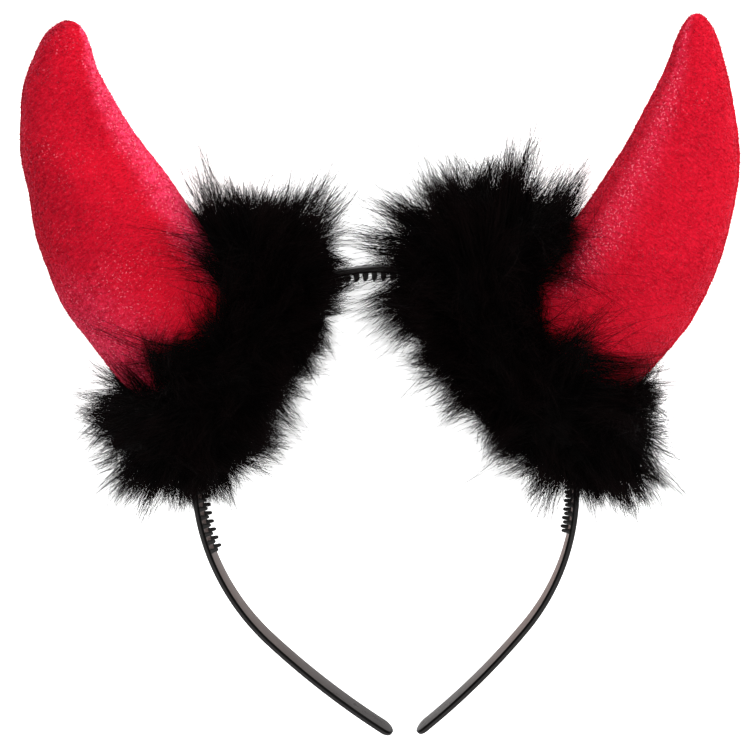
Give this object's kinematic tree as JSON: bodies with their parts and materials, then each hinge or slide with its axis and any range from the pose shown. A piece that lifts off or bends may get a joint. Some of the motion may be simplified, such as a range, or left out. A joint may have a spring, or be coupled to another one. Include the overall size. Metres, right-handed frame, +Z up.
{
  "type": "devil horns headband",
  "caption": "Black plastic hairband with comb teeth, curved stuffed red velvet horns and a thick black fur ring around the foot of each horn.",
  "frame": {"origin": "middle of the underside of the whole object's box, on the surface that it lies on", "axes": "+Y from the ends of the band to its crown and the horns, +Z up, out of the front of the headband, +X to the right as it is looked down on"},
  "size_m": [0.198, 0.2152, 0.0625],
  "materials": {
    "band_plastic": "gloss",
    "horn_velvet": "matte",
    "black_fur": "matte"
  },
  "bodies": {
    "root": {"band": "band_plastic", "horn_left": "horn_velvet", "horn_right": "horn_velvet", "fur_left": "black_fur", "fur_right": "black_fur"}
  },
  "joints": []
}
